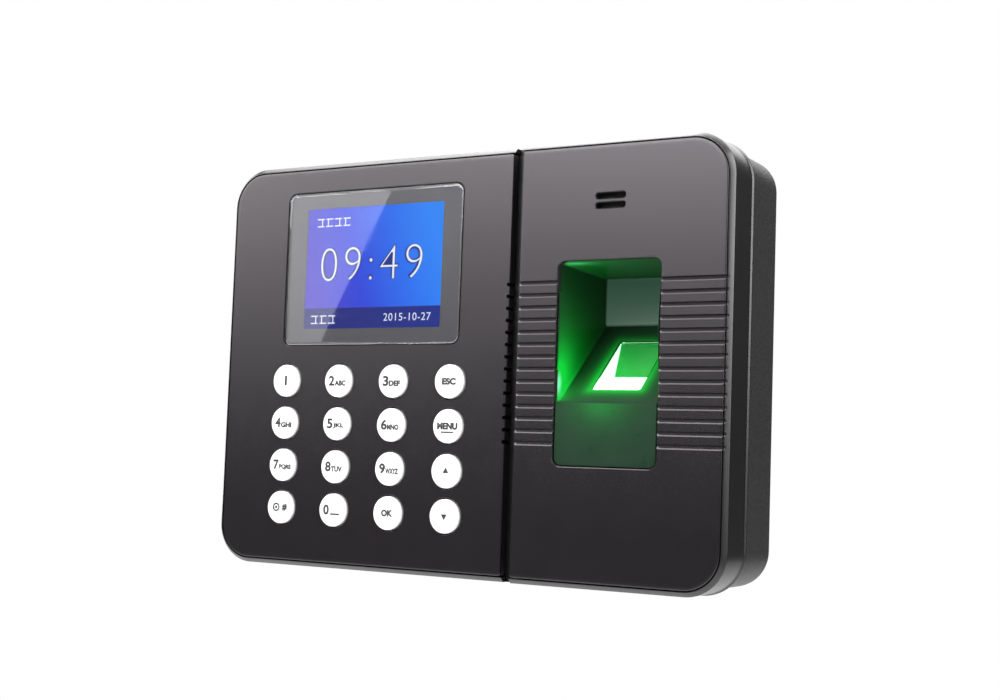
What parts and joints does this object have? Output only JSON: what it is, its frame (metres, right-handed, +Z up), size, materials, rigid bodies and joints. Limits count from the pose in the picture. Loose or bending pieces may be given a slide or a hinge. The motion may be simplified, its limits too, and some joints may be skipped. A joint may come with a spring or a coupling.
{
  "type": "fingerprint scanner terminal",
  "caption": "Wall-mounted fingerprint terminal with a colour display, a round-key keypad and a deep finger well over a glass optical sensor, on a hook-on wall bracket.",
  "frame": {"origin": "centre of the wall bracket's back face, which lies against the wall", "axes": "+X to the right seen from the front, +Y back into the wall, +Z up; the face looks along -Y"},
  "size_m": [0.1698, 0.037, 0.123],
  "materials": {
    "satin_grey_plastic": "satin",
    "black_plastic": "satin",
    "dark_grey_plastic": "fine texture",
    "tinted_window": "polished",
    "display_glass": "polished",
    "white_key_plastic": "satin",
    "grey_silicone": "matte",
    "dark_green_plastic": "gloss",
    "sensor_glass": "polished",
    "green_board": "solder mask",
    "chip_resin": "matte",
    "black_foam": "matte",
    "zinc_steel": "zinc plated",
    "bright_metal": "nickel plated",
    "ribbon_film": "film",
    "cable_sheath": "matte"
  },
  "bodies": {
    "terminal": {"front_housing": "black_plastic", "keypad_fascia": "satin_grey_plastic", "scanner_fascia": "satin_grey_plastic", "rear_cover": "dark_grey_plastic", "display_lens": "tinted_window", "display_gasket": "black_foam", "lcd_panel": "display_glass", "lcd_frame": "black_plastic", "lcd_ribbon": "ribbon_film", "keypad_mat": "grey_silicone", "key_board": "green_board", "finger_well": "dark_green_plastic", "prism_glass": "sensor_glass", "sensor_housing": "black_plastic", "sensor_board": "green_board", "sensor_camera": "chip_resin", "sensor_cable": "cable_sheath", "speaker": "black_plastic", "speaker_gasket": "black_foam", "speaker_lead": "cable_sheath", "main_board": "green_board", "processor_chip": "chip_resin", "coin_cell_holder": "black_plastic", "coin_cell": "bright_metal", "capacitor": "bright_metal", "usb_port": "bright_metal", "dc_jack": "black_plastic", "wall_bracket": "zinc_steel", "bracket_screw": "zinc_steel", "case_screw_1": "zinc_steel", "board_screw_1": "zinc_steel", "case_screw_2": "zinc_steel", "board_screw_2": "zinc_steel", "case_screw_3": "zinc_steel", "board_screw_3": "zinc_steel", "case_screw_4": "zinc_steel", "board_screw_4": "zinc_steel"},
    "key_1": {"key_1": "white_key_plastic"},
    "key_2": {"key_2": "white_key_plastic"},
    "key_3": {"key_3": "white_key_plastic"},
    "key_esc": {"key_esc": "white_key_plastic"},
    "key_4": {"key_4": "white_key_plastic"},
    "key_5": {"key_5": "white_key_plastic"},
    "key_6": {"key_6": "white_key_plastic"},
    "key_menu": {"key_menu": "white_key_plastic"},
    "key_7": {"key_7": "white_key_plastic"},
    "key_8": {"key_8": "white_key_plastic"},
    "key_9": {"key_9": "white_key_plastic"},
    "key_up": {"key_up": "white_key_plastic"},
    "key_power": {"key_power": "white_key_plastic"},
    "key_0": {"key_0": "white_key_plastic"},
    "key_ok": {"key_ok": "white_key_plastic"},
    "key_down": {"key_down": "white_key_plastic"}
  },
  "joints": [
    {"name": "key_1_press", "type": "slide", "parent": "terminal", "child": "key_1", "axis": [0, 1, 0], "range_m": [0, 0.001], "stiffness_N_per_m": 1200, "deforming": ["keypad_mat"]},
    {"name": "key_2_press", "type": "slide", "parent": "terminal", "child": "key_2", "axis": [0, 1, 0], "range_m": [0, 0.001], "stiffness_N_per_m": 1200, "deforming": ["keypad_mat"]},
    {"name": "key_3_press", "type": "slide", "parent": "terminal", "child": "key_3", "axis": [0, 1, 0], "range_m": [0, 0.001], "stiffness_N_per_m": 1200, "deforming": ["keypad_mat"]},
    {"name": "key_esc_press", "type": "slide", "parent": "terminal", "child": "key_esc", "axis": [0, 1, 0], "range_m": [0, 0.001], "stiffness_N_per_m": 1200, "deforming": ["keypad_mat"]},
    {"name": "key_4_press", "type": "slide", "parent": "terminal", "child": "key_4", "axis": [0, 1, 0], "range_m": [0, 0.001], "stiffness_N_per_m": 1200, "deforming": ["keypad_mat"]},
    {"name": "key_5_press", "type": "slide", "parent": "terminal", "child": "key_5", "axis": [0, 1, 0], "range_m": [0, 0.001], "stiffness_N_per_m": 1200, "deforming": ["keypad_mat"]},
    {"name": "key_6_press", "type": "slide", "parent": "terminal", "child": "key_6", "axis": [0, 1, 0], "range_m": [0, 0.001], "stiffness_N_per_m": 1200, "deforming": ["keypad_mat"]},
    {"name": "key_menu_press", "type": "slide", "parent": "terminal", "child": "key_menu", "axis": [0, 1, 0], "range_m": [0, 0.001], "stiffness_N_per_m": 1200, "deforming": ["keypad_mat"]},
    {"name": "key_7_press", "type": "slide", "parent": "terminal", "child": "key_7", "axis": [0, 1, 0], "range_m": [0, 0.001], "stiffness_N_per_m": 1200, "deforming": ["keypad_mat"]},
    {"name": "key_8_press", "type": "slide", "parent": "terminal", "child": "key_8", "axis": [0, 1, 0], "range_m": [0, 0.001], "stiffness_N_per_m": 1200, "deforming": ["keypad_mat"]},
    {"name": "key_9_press", "type": "slide", "parent": "terminal", "child": "key_9", "axis": [0, 1, 0], "range_m": [0, 0.001], "stiffness_N_per_m": 1200, "deforming": ["keypad_mat"]},
    {"name": "key_up_press", "type": "slide", "parent": "terminal", "child": "key_up", "axis": [0, 1, 0], "range_m": [0, 0.001], "stiffness_N_per_m": 1200, "deforming": ["keypad_mat"]},
    {"name": "key_power_press", "type": "slide", "parent": "terminal", "child": "key_power", "axis": [0, 1, 0], "range_m": [0, 0.001], "stiffness_N_per_m": 1200, "deforming": ["keypad_mat"]},
    {"name": "key_0_press", "type": "slide", "parent": "terminal", "child": "key_0", "axis": [0, 1, 0], "range_m": [0, 0.001], "stiffness_N_per_m": 1200, "deforming": ["keypad_mat"]},
    {"name": "key_ok_press", "type": "slide", "parent": "terminal", "child": "key_ok", "axis": [0, 1, 0], "range_m": [0, 0.001], "stiffness_N_per_m": 1200, "deforming": ["keypad_mat"]},
    {"name": "key_down_press", "type": "slide", "parent": "terminal", "child": "key_down", "axis": [0, 1, 0], "range_m": [0, 0.001], "stiffness_N_per_m": 1200, "deforming": ["keypad_mat"]}
  ]
}
